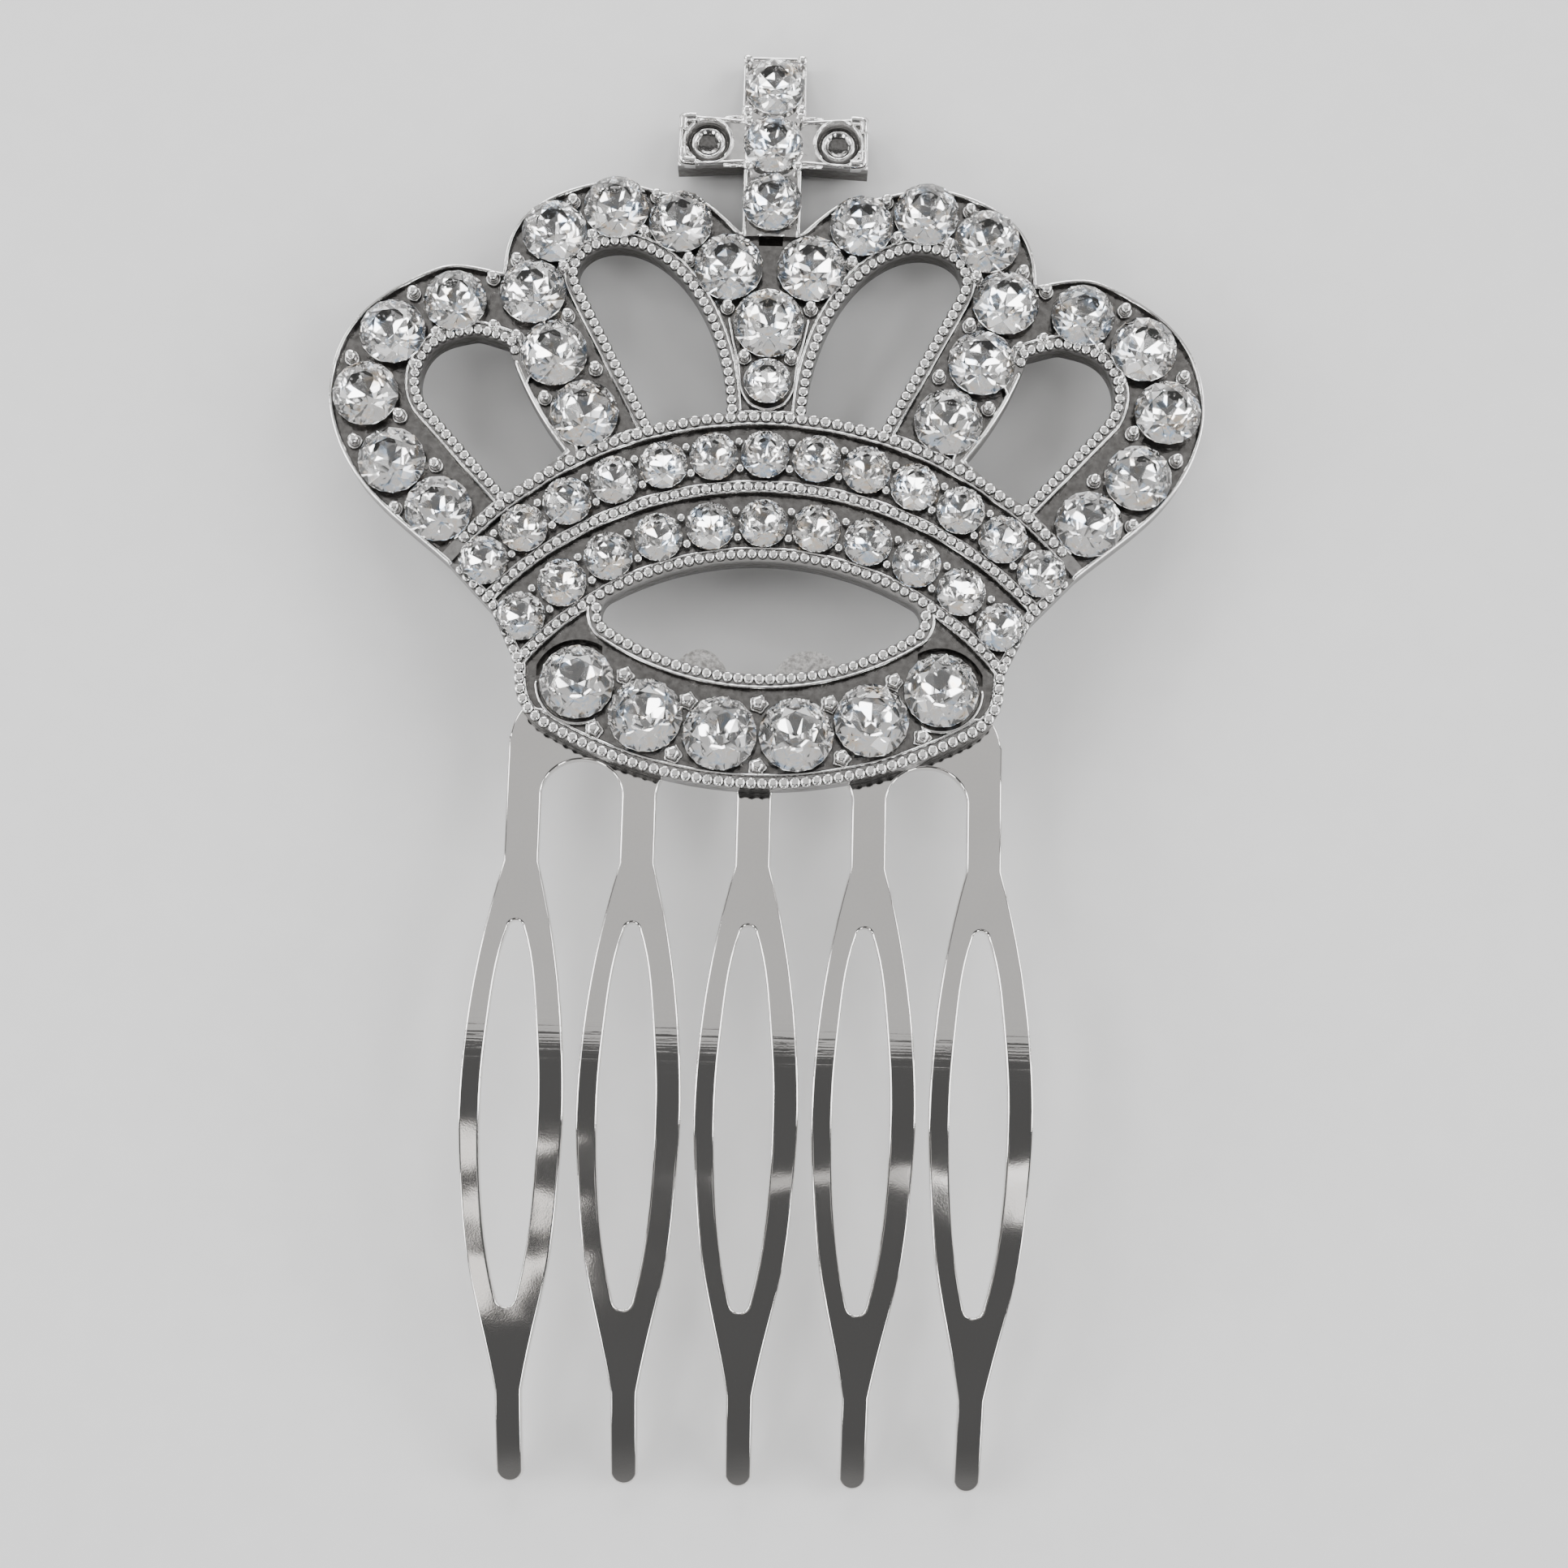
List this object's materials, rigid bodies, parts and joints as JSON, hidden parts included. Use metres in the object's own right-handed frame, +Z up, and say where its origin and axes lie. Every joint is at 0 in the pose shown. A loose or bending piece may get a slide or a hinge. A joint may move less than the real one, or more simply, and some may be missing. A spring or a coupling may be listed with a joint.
{
  "type": "rhinestone crown hair comb",
  "caption": "Flat crown-shaped casting set with clear cut stones, backed by a bent metal comb with slotted teeth, lying on its back.",
  "frame": {"origin": "centre of the bounding box's bottom face, on the surface that the comb lies on", "axes": "+X to the right across the crown, +Y from the teeth to the cross, +Z up, away from the surface"},
  "size_m": [0.0576, 0.095, 0.0084],
  "materials": {
    "plated_casting": "bright silver plating",
    "polished_steel": "polished steel strip",
    "cut_stone": "clear cut glass with a silvered back",
    "clear_glue": "cloudy clear glue"
  },
  "bodies": {
    "root": {"crown_frame": "plated_casting", "comb": "polished_steel", "glue_dab_left": "clear_glue", "glue_dab_right": "clear_glue", "upper_row_stones": "cut_stone", "lower_row_stones": "cut_stone", "stone_loop_1_right": "cut_stone", "stone_loop_1_left": "cut_stone", "stone_loop_2_right": "cut_stone", "stone_loop_2_left": "cut_stone", "stone_loop_3_right": "cut_stone", "stone_loop_3_left": "cut_stone", "stone_loop_4_right": "cut_stone", "stone_loop_4_left": "cut_stone", "stone_loop_5_right": "cut_stone", "stone_loop_5_left": "cut_stone", "stone_arch_1_right": "cut_stone", "stone_arch_1_left": "cut_stone", "stone_arch_2_right": "cut_stone", "stone_arch_2_left": "cut_stone", "stone_arch_3_right": "cut_stone", "stone_arch_3_left": "cut_stone", "stone_arch_4_right": "cut_stone", "stone_arch_4_left": "cut_stone", "stone_arch_5_right": "cut_stone", "stone_arch_5_left": "cut_stone", "stone_arch_6_right": "cut_stone", "stone_arch_6_left": "cut_stone", "stone_arch_7_right": "cut_stone", "stone_arch_7_left": "cut_stone", "stone_middle_large": "cut_stone", "stone_middle_small": "cut_stone", "stone_cross_low": "cut_stone", "stone_cross_centre": "cut_stone", "stone_cross_top": "cut_stone", "stone_ring_1": "cut_stone", "stone_ring_2": "cut_stone", "stone_ring_3": "cut_stone", "stone_ring_4": "cut_stone", "stone_ring_5": "cut_stone", "stone_ring_6": "cut_stone"}
  },
  "joints": []
}
